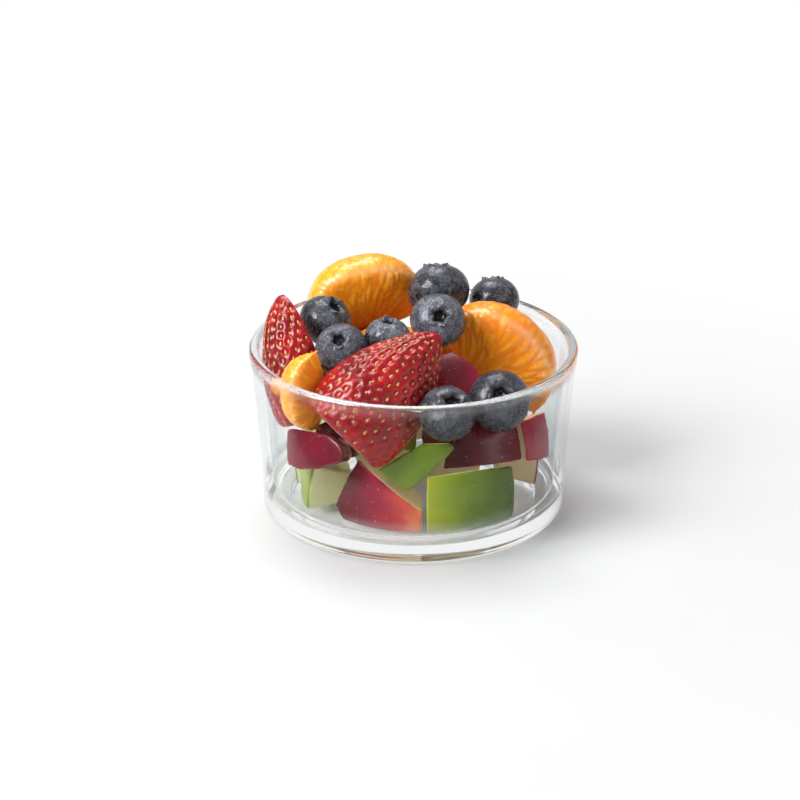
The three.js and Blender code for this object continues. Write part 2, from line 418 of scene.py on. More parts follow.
def cup_profile(settings):
    """The cup's section from the axis under the foot, over the rim, to the axis inside."""

    def outside(z):
        return settings.waist_radius + (settings.rim_radius - settings.waist_radius) * (
            z / settings.height
        ) ** FLARE_POWER

    def arc(x, z, radius, start, end, steps):
        angles = [math.radians(start + (end - start) * i / steps) for i in range(steps + 1)]
        return [(x + radius * math.cos(a), z + radius * math.sin(a)) for a in angles]

    def wall(low, high, inset):
        heights = [low + (high - low) * i / CUP_WALL_ROWS for i in range(1, CUP_WALL_ROWS)]
        return [(outside(z) - inset, z) for z in heights]

    round_rim = settings.wall / 2
    shoulder = settings.height - round_rim
    corner = settings.base + CUP_FILLET
    points = [(0, PUNT_DEPTH), (PUNT_RADIUS * 0.5, PUNT_DEPTH), (PUNT_RADIUS, PUNT_DEPTH)]
    points += [(PUNT_RADIUS + PUNT_DEPTH, PUNT_DEPTH * 0.3), (PUNT_RADIUS + 2 * PUNT_DEPTH, 0)]
    points += arc(outside(CUP_FOOT_CORNER) - CUP_FOOT_CORNER, CUP_FOOT_CORNER, CUP_FOOT_CORNER, -90, 0, 8)
    points += wall(CUP_FOOT_CORNER, shoulder, 0)
    points += arc(settings.rim_radius - round_rim, shoulder, round_rim, 0, 180, 16)
    points += reversed(wall(corner, shoulder, settings.wall))
    points += arc(outside(corner) - settings.wall - CUP_FILLET, corner, CUP_FILLET, 0, -90, 10)
    points += [(PUNT_RADIUS * 0.5, settings.base), (0, settings.base)]
    return points


def glass_material(settings):
    """Clear glass: plain see-through walls with painted grey streaks where seen edge-on, and a rim and foot
    that bend the light, turn grey towards their edges as painted shade, and glow white inside with painted
    light.
    """
    material, tree, shader = blank_material("Clear Glass")
    set_values(shader, {"Roughness": 0.0, "IOR": GLASS_IOR, "Transmission Weight": 1.0})
    facing = add_node(tree, "LayerWeight", {"Blend": 0.5}).outputs["Facing"]
    # Painted shade: the glass turns grey towards its edges, where it is seen edge-on, standing in for dark
    # surroundings seen through it.
    edges = ramp(tree, facing, [
        (0.0, settings.tint), (0.62, settings.tint), (0.85, (0.62, 0.65, 0.66)), (1.0, (0.3, 0.32, 0.33)),
    ])
    feed(tree, shader, {"Base Color": edges})
    # Painted shade: faint grey upright streaks in the wall where it is seen edge-on, standing in for the dark
    # surroundings seen through the glass.
    tall = add_node(
        tree, "VectorMath", {0: object_place(tree), 1: STREAKS_PER_METRE}, operation="MULTIPLY",
    )
    waves = add_node(tree, "TexNoise", {"Vector": tall.outputs[0], "Scale": 1, "Detail": 2})
    streaks = spread(tree, waves.outputs["Fac"], 0.42, 0.62, 0.25, 1)
    painted_edge_streaks = times(tree, spread(tree, facing, 0.35, 0.85), streaks)
    wall_colour_with_painted_streaks = blend(tree, painted_edge_streaks, (0.985, 0.99, 0.988), (0.8, 0.82, 0.84))
    clear = add_node(tree, "BsdfTransparent", {"Color": wall_colour_with_painted_streaks})
    shine = add_node(tree, "BsdfGlossy", {"Color": (1, 1, 1, 1), "Roughness": 0.0})
    fresnel = add_node(tree, "Fresnel", {"IOR": GLASS_IOR}).outputs["Fac"]
    outer = maths(tree, "SUBTRACT", 1, add_node(tree, "NewGeometry").outputs["Backfacing"])
    glancing = times(tree, spread(tree, fresnel, 0.07, 1), outer)
    sheet = mixed(tree, glancing, clear.outputs[0], shine.outputs[0])
    ray = add_node(tree, "LightPath")
    soft_rays = maths(tree, "MAXIMUM", ray.outputs["Is Shadow Ray"], ray.outputs["Is Diffuse Ray"])
    wall = times(tree, attribute(tree, "wall"), settings.clearness)
    glass = mixed(tree, maths(tree, "MAXIMUM", soft_rays, wall), shader.outputs[0], sheet)
    # Painted light: light that has crossed the glass often turns into a white glow that stands for the white
    # surround.
    glow = add_node(tree, "Emission", {"Color": (0.93, 0.95, 0.95, 1), "Strength": 0.95})
    trapped = maths(tree, "GREATER_THAN", ray.outputs["Ray Depth"], MOST_CROSSINGS)
    seen = times(tree, trapped, maths(tree, "SUBTRACT", 1, soft_rays))
    show(tree, mixed(tree, seen, glass, glow.outputs[0]))
    return material


class FRUITCUP_OT_glass(bpy.types.Operator):
    """Turns the glass cup from its section"""

    bl_idname = "fruitcup.glass"
    bl_label = "Glass Cup"

    def execute(self, context):
        settings = context.scene.fruit_cup_glass
        bm = bmesh.new()
        ring = [bm.verts.new((x, 0, z)) for x, z in cup_profile(settings)]
        edges = [bm.edges.new(pair) for pair in zip(ring, ring[1:])]
        bmesh.ops.spin(
            bm, geom=ring + edges, axis=(0, 0, 1), cent=(0, 0, 0), angle=2 * math.pi,
            steps=CUP_COLUMNS, use_merge=True,
        )
        bmesh.ops.remove_doubles(bm, verts=bm.verts, dist=0.01 * MM)
        layer = bm.verts.layers.float.new("wall")
        rim = settings.height - settings.wall / 2
        foot = settings.base + CUP_FILLET
        for v in bm.verts:
            above = smooth_step(foot - 2 * MM, foot + MM, v.co.z)
            v[layer] = above * (1 - smooth_step(rim - MM, rim, v.co.z))
        finished(bm, "glass_cup", [glass_material(settings)])
        return {"FINISHED"}


# The blueberries


class BlueberrySettings(bpy.types.PropertyGroup):
    """The blueberries."""

    squash: FloatProperty(
        name="Squash", description="Height of a blueberry over its width", default=0.9, min=0.6, max=1.2,
    )
    skin: FloatVectorProperty(
        name="Skin", description="Colour of the bare skin", subtype="COLOR", size=3,
        default=(0.006, 0.006, 0.011),
    )
    bloom: FloatVectorProperty(
        name="Bloom", description="Colour of the waxy bloom", subtype="COLOR", size=3,
        default=(0.29, 0.31, 0.385),
    )
    seed: IntProperty(name="Seed", description="Seed of the uneven crowns", default=4)


BERRY_COLUMNS = 120
BERRY_ROWS = 96
CROWN_ROWS = 0.42  # share of the rows that the crown and its pit take
CROWN_LOBES = 5
CROWN_EDGE = 36  # degrees from the crown to where the ball ends
# The crown's section from the pit's middle out to the ball: row share, radius and height over the
# berry's own, and how far the lobes stand out there.
CROWN_SECTION = [
    (0.0, 0.0, 0.66, 0),
    (0.08, 0.05, 0.68, 0),
    (0.16, 0.09, 0.64, 0),
    (0.34, 0.16, 0.68, 0.2),
    (0.5, 0.21, 0.84, 0.55),
    (0.64, 0.3, 0.93, 1),
    (0.72, 0.35, 0.94, 1),
    (0.86, 0.44, 0.89, 0.2),
    (1.0, math.sin(math.radians(CROWN_EDGE)), math.cos(math.radians(CROWN_EDGE)), 0),
]
LOBE_REACH = 0.16  # how far a lobe's tip stands out and up, over the berry's radius
LOBE_HALF_ANGLE = 0.55  # radians from a lobe's tip to its foot


def berry_shape(diameter, settings, rolls):
    """A blueberry, crown up, and how deep in the crown's pit each of its points lies."""
    wide = diameter * MM / 2
    high = wide * settings.squash
    tips = [(rolls.uniform(-0.12, 0.12), rolls.uniform(0.55, 1.15)) for _ in range(CROWN_LOBES)]
    shift = Vector([rolls.uniform(-50, 50) for _ in range(3)])
    shares, radii, heights, reaches = zip(*CROWN_SECTION)

    def lobe(angle):
        best = 0
        for i, (swing, size) in enumerate(tips):
            away = abs((angle - 2 * math.pi * i / CROWN_LOBES - swing + math.pi) % (2 * math.pi) - math.pi)
            best = max(best, size * max(0, 1 - away / LOBE_HALF_ANGLE) ** 0.9)
        return best

    def place(down, around):
        angle = 2 * math.pi * around
        if down >= CROWN_ROWS:
            past = (down - CROWN_ROWS) / (1 - CROWN_ROWS)
            polar = math.radians(CROWN_EDGE) + past * math.radians(180 - CROWN_EDGE)
            radius, height, out = math.sin(polar), math.cos(polar), 0
        else:
            share = down / CROWN_ROWS
            radius = np.interp(share, shares, radii)
            height = np.interp(share, shares, heights)
            out = np.interp(share, shares, reaches) * (lobe(angle) - 0.25) * LOBE_REACH
        spot = Vector((
            wide * (radius + out) * math.cos(angle),
            wide * (radius + out) * math.sin(angle),
            high * (height + out),
        ))
        lumps = 0.25 * noise.noise(spot * 170 + shift) + 0.06 * noise.noise(spot * 700 + shift)
        return spot * (1 + lumps * MM / wide)

    bm, spots, (pit, near) = wrapped_ball(BERRY_COLUMNS, BERRY_ROWS, place, ["pit", "near_crown"])
    crown = [v for v, (down, _) in spots.items() if down < CROWN_ROWS * 1.05]
    smoothed(bm, crown)
    for v, (down, _) in spots.items():
        v[pit] = 1 - smooth_step(0.42, 0.68, down / CROWN_ROWS)
        v[near] = 1 - smooth_step(0.9, 1.5, down / CROWN_ROWS)
    return bm


def blueberry_material(settings):
    """Dark waxy skin, dusted with a patchy bloom that is thicker round the crown, with painted glints and
    painted shade in the crown's pit.
    """
    material, tree, shader = blank_material("Blueberry Skin")
    set_values(shader, {"IOR": FRUIT_IOR, "Coat Weight": 0.35, "Coat Roughness": 0.15})
    place = object_place(tree)
    patches = spread(tree, grain(tree, place, 0.28, 6, 0.75), 0.5, 0.56)
    specks = spread(tree, grain(tree, place, 0.9, 6, 0.85), 0.52, 0.6)
    dusty = attribute(tree, "dusty")
    crown_dust = times(tree, attribute(tree, "near_crown"), 0.25)
    even = plus(tree, times(tree, patches, 0.36), crown_dust)
    dust = plus(tree, times(tree, specks, 0.5), even)
    mask = times(tree, dust, dusty)
    skin = blend(tree, mask, settings.skin, settings.bloom)
    # Painted glints: small pale specks stand in for highlights on the skin, more of them on the dustier
    # berries.
    glints = spread(tree, grain(tree, place, 1.9, 2, 0.5), 0.63, 0.68, 0, 0.9)
    glinted_skin = blend(tree, times(tree, glints, dusty), skin, (0.55, 0.57, 0.62))
    # Painted shade, over the dried crown's own dark colour: the crown's pit turns near black.
    dark = blend(tree, attribute(tree, "pit"), glinted_skin, (0.004, 0.0035, 0.004))
    feed(tree, shader, {
        "Base Color": dark, "Roughness": spread(tree, mask, 0, 0.7, 0.24, 0.6),
        "Normal": bumped(tree, plus(tree, specks, patches), 0.12),
    })
    return material


class FRUITCUP_OT_blueberries(bpy.types.Operator):
    """Shapes each blueberry with its lobed crown and dusty skin"""

    bl_idname = "fruitcup.blueberries"
    bl_label = "Blueberries"

    def execute(self, context):
        settings = context.scene.fruit_cup_blueberries
        material = blueberry_material(settings)
        rolls = random.Random(settings.seed)
        for node, diameter, turn, tilt, dusty in BLUEBERRIES:
            bm = berry_shape(diameter, settings, rolls)
            paint(bm, "dusty", dusty)
            settle(bm, node, laid(turn, tilt))
            finished(bm, node, [material])
        return {"FINISHED"}


# The strawberries


class StrawberrySettings(bpy.types.PropertyGroup):
    """The strawberry halves."""

    skin: FloatVectorProperty(
        name="Skin", description="Colour of the ripe skin", subtype="COLOR", size=3,
        default=(0.4, 0.004, 0.007),
    )
    # The deep skin colour also serves as the painted shade in the seed pits.
    deep_skin: FloatVectorProperty(
        name="Deep Skin", description="Colour of the skin's darker patches", subtype="COLOR", size=3,
        default=(0.17, 0.002, 0.005),
    )
    seed_colour: FloatVectorProperty(
        name="Seeds", description="Colour of the seeds", subtype="COLOR", size=3,
        default=(0.72, 0.4, 0.05),
    )
    shoulder_spacing: FloatProperty(
        name="Shoulder Spacing", description="From seed to seed at the broad end, in millimetres",
        default=3.8,
    )
    tip_spacing: FloatProperty(
        name="Tip Spacing", description="From seed to seed at the tip, in millimetres", default=2.2,
    )
    pit_depth: FloatProperty(
        name="Pit Depth", description="How deep a seed's pit is, in millimetres", default=0.5,
    )
    seed: IntProperty(name="Seed", description="Seed of the uneven spacing", default=11)


STRAWBERRY_COLUMNS = 200
STRAWBERRY_ROWS = 190
SKIN_SHARE = 0.8  # of the columns: the others lie on the cut face
SHOULDER_SHARE = 0.08  # of the rows, on the hulled end
PIT_RADIUS = 0.85 * MM
PIT_STRETCH = 1.35  # length of a pit over its width
SKIN_PUFF = 0.22  # millimetres that the skin stands up between the pits
SEED_SIZE = (0.36, 0.74, 0.28)  # half sizes in millimetres: across, along, up


def strawberry_profile(t, taper):
    """Half width, as a share of the widest, from the cut shoulder at 0 to the tip at 1."""

    def curve(u):
        return (u + 0.15) ** 0.35 * (1 - u) ** taper

    return curve(t) / curve((0.35 - 0.15 * taper) / (0.35 + taper))


def strawberry_point(size, t, around):
    """A point of the half: around runs from 0 to 1 over the skin and from 1 to 2 over the cut face."""
    length, width, depth, taper = size
    edge = 0.9 + 0.1 * math.sqrt(1 - (1 - min(1, t / 0.04)) ** 2)
    radius = strawberry_profile(t, taper) * edge
    y = (t - 0.5) * length
    if around > 1:
        return Vector(((2 * around - 3) * radius * width / 2, y, 0))
    angle = math.pi * around
    return Vector((radius * width / 2 * math.cos(angle), y, radius * depth * math.sin(angle)))


def seed_places(size, settings, rolls):
    """Where the seeds sit on the skin, as (place, outward, towards the tip)."""
    length, width, depth, taper = size
    seeds = []
    t, row = 0.035, 0
    while t < 0.975:
        spacing = (settings.shoulder_spacing + (settings.tip_spacing - settings.shoulder_spacing) * t) * MM
        around_length = math.pi * strawberry_profile(t, taper) * math.hypot(width / 2, depth) / math.sqrt(2)
        count = max(2, round(around_length / spacing))
        for i in range(count + row % 2):
            around = (i + (0 if row % 2 else 0.5) + rolls.uniform(-0.13, 0.13)) / count
            up = min(0.985, t + rolls.uniform(-0.1, 0.1) * spacing / length)
            if 0.01 < around < 0.99:
                place = strawberry_point(size, up, around)
                ahead = strawberry_point(size, up + 0.01, around) - place
                beside = strawberry_point(size, up, min(1, around + 0.01)) - place
                seeds.append((place, ahead.cross(beside).normalized(), ahead.normalized()))
        t += spacing * 0.85 / length
        row += 1
    return seeds


def strawberry_shape(size, settings, rolls):
    """Half a strawberry with its pits and seeds, pointing along +Y with its cut face on z = 0."""
    length, _, depth, _ = size
    hull = Vector((0, -length / 2, depth * 0.3))
    shift = Vector([rolls.uniform(-50, 50) for _ in range(3)])

    def split(around):
        if around < SKIN_SHARE:
            return around / SKIN_SHARE
        return 1 + (around - SKIN_SHARE) / (1 - SKIN_SHARE)

    def place(down, around):
        if down < SHOULDER_SHARE:
            rim = strawberry_point(size, 0, split(around))
            return hull + (rim - hull) * (down / SHOULDER_SHARE)
        t = (down - SHOULDER_SHARE) / (1 - SHOULDER_SHARE)
        return strawberry_point(size, t, split(around))

    bm, spots, layers = wrapped_ball(STRAWBERRY_COLUMNS, STRAWBERRY_ROWS, place, ["pit", "flesh", "inner"])
    pit, flesh, inner = layers
    seeds = seed_places(size, settings, rolls)
    tree = kdtree.KDTree(len(seeds))
    for i, (spot, _, _) in enumerate(seeds):
        tree.insert(spot, i)
    tree.balance()
    moves = {}
    for v, (down, around) in spots.items():
        side = split(around)
        cut = side > 1 or down < SHOULDER_SHARE
        v[flesh] = 1 if cut else 0
        if side > 1:
            v[inner] = 1 - abs(2 * side - 3)
        elif cut:
            v[inner] = 1 - down / SHOULDER_SHARE
        if cut:
            moves[v] = 0.12 * noise.noise(v.co * 500 + shift)
            continue
        sunk = 0
        for spot, i, _ in tree.find_n(v.co, 2):
            offset = v.co - spot
            along = offset.dot(seeds[i][2])
            away = math.sqrt(max(0, offset.length_squared - along * along) + (along / PIT_STRETCH) ** 2)
            sunk = max(sunk, math.exp(-((away / PIT_RADIUS) ** 2)))
        v[pit] = sunk
        rim = min(1, 6 * min(side, 1 - side, max(0.02, down - SHOULDER_SHARE)) ** 0.5)
        puffy = SKIN_PUFF - settings.pit_depth * sunk
        moves[v] = rim * (puffy + 0.35 * noise.noise(v.co * 110 + shift))
    normals = {v: v.normal.copy() for v in moves}
    for v, move in moves.items():
        v.co += normals[v] * move * MM
    add_seeds(bm, seeds, settings, rolls)
    return bm


def add_seeds(bm, seeds, settings, rolls):
    """Sets a small drop-shaped seed in each pit."""
    across, along, up = (value * MM for value in SEED_SIZE)
    drop = bmesh.new()
    bmesh.ops.create_uvsphere(drop, u_segments=10, v_segments=8, radius=1)
    for v in drop.verts:
        v.co.x *= 1 - 0.35 * v.co.y
    for face in drop.faces:
        face.material_index = 1
    mesh = bpy.data.meshes.new("seed")
    drop.to_mesh(mesh)
    drop.free()
    for place, outward, tipward in seeds:
        swing = Matrix.Rotation(rolls.uniform(-0.3, 0.3), 3, outward)
        tipward = swing @ tipward
        aside = outward.cross(tipward).normalized()
        size = rolls.uniform(0.85, 1.15)
        axes = Matrix((aside * across * size, tipward * along * size, outward * up)).transposed()
        sunk = Matrix.Translation(place - outward * (settings.pit_depth * 0.62 * MM))
        seed = mesh.copy()
        seed.transform(sunk @ axes.to_4x4())
        bm.from_mesh(seed)
        bpy.data.meshes.remove(seed)
    bpy.data.meshes.remove(mesh)


def strawberry_material(settings):
    """Wet red skin with painted shade in its pits, and pale streaked flesh on the cuts."""
    material, tree, shader = blank_material("Strawberry Skin")
    set_values(shader, {
        "IOR": FRUIT_IOR, "Coat Weight": 0.25, "Coat Roughness": 0.1,
        "Subsurface Weight": 0.12, "Subsurface Radius": (1.0, 0.08, 0.05), "Subsurface Scale": 1.2 * MM,
    })
    place = object_place(tree)
    patches = spread(tree, grain(tree, place, 0.12, 3), 0.35, 0.65)
    skin = blend(tree, patches, settings.deep_skin, settings.skin)
    # Painted shade: the skin turns towards the deep skin colour in each seed's pit.
    pit = spread(tree, attribute(tree, "pit"), 0.25, 0.9, 0, 0.6)
    pit_shaded_skin = blend(tree, pit, skin, settings.deep_skin)
    streaks = grain(tree, place, 0.5, 3)
    inner = plus(tree, attribute(tree, "inner"), times(tree, streaks, 0.35))
    flesh = ramp(tree, inner, [
        (0.12, (0.5, 0.015, 0.015)), (0.32, (0.66, 0.07, 0.05)), (0.6, (0.8, 0.24, 0.17)),
        (0.85, (0.88, 0.45, 0.34)), (1.0, (0.92, 0.66, 0.55)),
    ])
    lumps = effect(tree, "Wet Lumps", wet_lumps_group, {"Per Millimetre": 0.8, "Fine Share": 0.4})
    feed(tree, shader, {
        "Base Color": blend(tree, attribute(tree, "flesh"), pit_shaded_skin, flesh),
        "Roughness": spread(tree, streaks, 0.3, 0.7, 0.16, 0.34), "Normal": bumped(tree, lumps, 0.1),
    })
    return material


def seed_material(settings):
    """Golden seeds, some of them redder."""
    material, tree, shader = blank_material("Strawberry Seed")
    set_values(shader, {"IOR": 1.45, "Coat Weight": 0.5, "Coat Roughness": 0.12})
    tone = spread(tree, grain(tree, object_place(tree), 0.35, 2), 0.35, 0.65)
    feed(tree, shader, {
        "Base Color": blend(tree, tone, (0.5, 0.16, 0.03), settings.seed_colour),
        "Roughness": spread(tree, tone, 0, 1, 0.3, 0.42),
    })
    return material


class FRUITCUP_OT_strawberries(bpy.types.Operator):
    """Shapes each strawberry half with its pits and seeds"""

    bl_idname = "fruitcup.strawberries"
    bl_label = "Strawberries"

    def execute(self, context):
        settings = context.scene.fruit_cup_strawberries
        materials = [strawberry_material(settings), seed_material(settings)]
        rolls = random.Random(settings.seed)
        for node, length, width, depth, taper, turn, tilt, roll in STRAWBERRIES:
            size = (length * MM, width * MM, depth * MM, taper)
            bm = strawberry_shape(size, settings, rolls)
            settle(bm, node, laid(turn, tilt, roll))
            finished(bm, node, materials)
        return {"FINISHED"}


# The mandarin segments


class MandarinSettings(bpy.types.PropertyGroup):
    """The mandarin segments."""

    # The light and deep oranges also serve as painted light on the sacs' tops and painted shade in the
    # creases between them.
    light: FloatVectorProperty(
        name="Light Orange", description="Colour of the swollen juice sacs", subtype="COLOR", size=3,
        default=(1.0, 0.41, 0.012),
    )
    deep: FloatVectorProperty(
        name="Deep Orange", description="Colour between the sacs and at the core", subtype="COLOR", size=3,
        default=(0.9, 0.2, 0.004),
    )
    # The pith colour also serves as painted highlights along the sacs' ridges.
    pith: FloatVectorProperty(
        name="Pith", description="Colour of the thin white strands", subtype="COLOR", size=3,
        default=(1.0, 0.72, 0.42),
    )
    relief: FloatProperty(
        name="Relief", description="How far the juice sacs swell, in millimetres", default=0.36,
    )
    sac_width: FloatProperty(
        name="Sac Width", description="Angle that a juice sac takes from the core, in radians", default=0.11,
    )
    sac_length: FloatProperty(
        name="Sac Length", description="Length of a juice sac, in millimetres", default=9,
    )


MANDARIN_COLUMNS = 200
MANDARIN_ROWS = 150
SAC_THICKNESS = 4.5 * MM  # across the segment
SEAM_SHARE = 0.9  # where the pale seam runs, from the inner edge at 0 to the back at 1


def mandarin_point(size, s, around):
    """A point of the segment: s runs from end to end, around from the inner edge, over the back, to it."""
    length, depth, thickness = size
    bow = abs(s)
    inner = depth * (-0.5 + 0.16 * bow**2)
    back = depth * (-0.4 + 0.9 * (1 - bow**2.3) ** (1 / 2.3))
    swell = (1 - bow**2.6) ** 0.5
    angle = 2 * math.pi * around
    share = (1 - math.cos(angle)) / 2
    side = math.copysign(1.3 * max(0, share**0.8 * (1 - share**5)) ** 0.5, math.sin(angle))
    x = side * thickness / 2 * swell * (0.55 + 0.45 * share)
    return Vector((x, s * length / 2, inner + (back - inner) * share))


def mandarin_shape(size, settings, shift):
    """A peeled segment along Y, swollen by juice sacs that fan out from the core, with its back at +Z."""
    depth = size[1]

    def place(down, around):
        s = -math.cos(math.pi * down)
        return mandarin_point(size, max(-0.9999, min(0.9999, s)), around)

    bm, spots, layers = wrapped_ball(
        MANDARIN_COLUMNS, MANDARIN_ROWS, place, ["sac", "core", "seam", "fan", "reach"],
    )
    sac, core, seam, fan, reach = layers
    moves = {}
    for v, (down, around) in spots.items():
        up = v.co.z + 0.66 * depth
        radius = math.hypot(v.co.y, up)
        angle = math.atan2(v.co.y, up)
        wander = 0.35 * noise.noise(v.co * 160 + shift)
        cell = Vector((
            angle / settings.sac_width + wander,
            radius / (settings.sac_length * MM) + 0.6 * noise.noise(v.co * 90 - shift),
            v.co.x / SAC_THICKNESS,
        ))
        distances = noise.voronoi(cell + shift)[0]
        dome = min(1, 2.1 * (distances[1] - distances[0])) ** 0.7
        out = smooth_step(0.3 * depth, 0.75 * depth, radius)
        share = (1 - math.cos(2 * math.pi * around)) / 2
        v[sac] = dome
        v[core] = 1 - out
        v[seam] = math.exp(-(((share - SEAM_SHARE) / 0.045) ** 2))
        v[fan] = angle
        v[reach] = radius / MM / 10
        shallow = (0.25 + 0.75 * out) * (1 - 0.55 * smooth_step(0.8, 0.97, share))
        moves[v] = settings.relief * (dome - 0.6) * shallow + 0.4 * noise.noise(v.co * 100 + shift)
    normals = {v: v.normal.copy() for v in moves}
    for v, move in moves.items():
        v.co += normals[v] * move * MM
    return bm


def mandarin_material(settings):
    """Juicy orange sacs under a thin wet skin, lighter on their tops and deeper in the creases as painted
    light and shade, with pale strands that are partly pith and partly painted highlights.
    """
    material, tree, shader = blank_material("Mandarin Flesh")
    set_values(shader, {
        "IOR": FRUIT_IOR, "Coat Weight": 0.5, "Coat Roughness": 0.14,
        "Subsurface Weight": 0.3, "Subsurface Radius": (1.0, 0.4, 0.05), "Subsurface Scale": 2.5 * MM,
    })
    links = {"X": attribute(tree, "fan"), "Y": attribute(tree, "reach"), "Z": attribute(tree, "deep")}
    fan = add_node(tree, "CombineXYZ", links)
    strands = add_node(
        tree, "TexNoise", {"Vector": fan.outputs[0], "Scale": 9, "Detail": 5, "Roughness": 0.6},
    ).outputs["Fac"]
    # Painted light and shade: the sacs' tops are lighter and the creases between them deeper orange.
    light = times(tree, attribute(tree, "sac"), 0.8)
    dark = plus(tree, attribute(tree, "deep"), times(tree, attribute(tree, "core"), 0.15))
    tone = maths(tree, "SUBTRACT", plus(tree, light, 0.45), times(tree, dark, 0.65))
    flesh = blend(tree, spread(tree, tone, 0, 1), settings.deep, settings.light)
    # The pale strands on the sacs' ridges are partly pith and partly painted highlights.
    pale = times(tree, spread(tree, strands, 0.56, 0.68), attribute(tree, "sac"))
    pith_and_highlight = times(tree, pale, 0.5)
    edges = plus(tree, pith_and_highlight, times(tree, attribute(tree, "seam"), 0.25))
    lumps = effect(tree, "Wet Lumps", wet_lumps_group, {"Per Millimetre": 0.7, "Fine Share": 0.5})
    feed(tree, shader, {
        "Base Color": blend(tree, edges, flesh, settings.pith),
        "Roughness": spread(tree, strands, 0.3, 0.7, 0.22, 0.42),
        "Normal": bumped(tree, plus(tree, lumps, strands), 0.09),
    })
    return material


class FRUITCUP_OT_mandarins(bpy.types.Operator):
    """Shapes each mandarin segment with its juice sacs"""

    bl_idname = "fruitcup.mandarins"
    bl_label = "Mandarin Segments"

    def execute(self, context):
        settings = context.scene.fruit_cup_mandarins
        material = mandarin_material(settings)
        for i, (node, length, depth, thickness, turn, tilt, roll, deep) in enumerate(MANDARINS):
            size = (length * MM, depth * MM, thickness * MM)
            bm = mandarin_shape(size, settings, Vector((7.3 * i, 3.1 * i, 1.7)))
            paint(bm, "deep", deep)
            settle(bm, node, laid(turn, tilt, roll))
            finished(bm, node, [material])
        return {"FINISHED"}


# The apple chunks


class AppleSettings(bpy.types.PropertyGroup):
    """The apple chunks."""

    voxel: FloatProperty(
        name="Voxel", description="Fineness of the cut shapes, in millimetres", default=0.42,
    )
    skin_depth: FloatProperty(
        name="Skin Depth", description="How deep the skin's colour goes at a cut, in millimetres",
        default=0.45,
    )
    flesh: FloatVectorProperty(
        name="Flesh", description="Colour of the cut flesh", subtype="COLOR", size=3,
        default=(0.78, 0.8, 0.45),
    )
    rounding: IntProperty(
        name="Rounding", description="How often the cut edges are smoothed", default=5,
    )


SKIN_LEAN = 0.8  # how squarely a face of the node has to face outwards to be skin
# Chunks whose skin wraps round the cut sides, and how many times deeper it goes there.
SKIN_WRAP = {"red_apple_1": 14, "red_apple_3": 10, "red_apple_9": 14}


def ball_centre(points):
    """The centre and radius of the ball that the points lie on."""
    grid = np.hstack([2 * points, np.ones((len(points), 1))])
    fit = np.linalg.lstsq(grid, (points**2).sum(axis=1), rcond=None)[0]
    centre = Vector(fit[:3])
    return centre, math.sqrt(fit[3] + centre.length_squared)


def remeshed(bm, voxel):
    """The shape again as an even grid of small faces."""
    rough = placed(bm, "chunk")
    mesh = rough.data
    grid = rough.modifiers.new("Grid", "REMESH")
    grid.mode = "VOXEL"
    grid.voxel_size = voxel
    even = bmesh.new()
    even.from_object(rough, bpy.context.evaluated_depsgraph_get())
    bpy.data.objects.remove(rough)
    bpy.data.meshes.remove(mesh)
    return even


def chunk_shape(node, turn, tilt, left, right, settings):
    """The node's chunk with a true round skin, softened cut edges and knife-rippled flesh."""
    outward = laid(turn, tilt) @ Vector((0, 0, 1))
    bm = bmesh.new()
    bm.from_mesh(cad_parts[node].data)
    bmesh.ops.remove_doubles(bm, verts=bm.verts, dist=0.001 * MM)
    bm.normal_update()
    skin = {v for f in bm.faces if f.normal.dot(outward) > SKIN_LEAN for v in f.verts}
    centre, radius = ball_centre(np.array([v.co for v in skin]))
    bm = remeshed(bm, settings.voxel * MM)
    for _ in range(settings.rounding):
        smoothed(bm, bm.verts)
    bm.normal_update()
    depth_layer = bm.verts.layers.float.new("depth")
    ripeness_and_light_layer = bm.verts.layers.float.new("ripeness_and_light")
    low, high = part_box(node)
    normals = [v.normal.copy() for v in bm.verts]
    for v, normal in zip(bm.verts, normals):
        arm = v.co - centre
        below = (radius - arm.length) / MM
        on_skin = smooth_step(0.75, 0.9, normal.dot(arm.normalized()))
        v.co += arm.normalized() * below * on_skin * MM
        ripple = 0.1 * noise.noise(v.co * 260) + 0.03 * noise.noise(v.co * 1300)
        v.co += normal * ripple * (1 - on_skin) * MM
        v[depth_layer] = below * (1 - on_skin) / SKIN_WRAP.get(node, 1)
        # Painted light and shade, partly real ripening: the skin's tone runs from its left end to its right
        # end as the camera sees it.
        across = (v.co.x - low.x) / (high.x - low.x)
        v[ripeness_and_light_layer] = left + (right - left) * across
    return bm


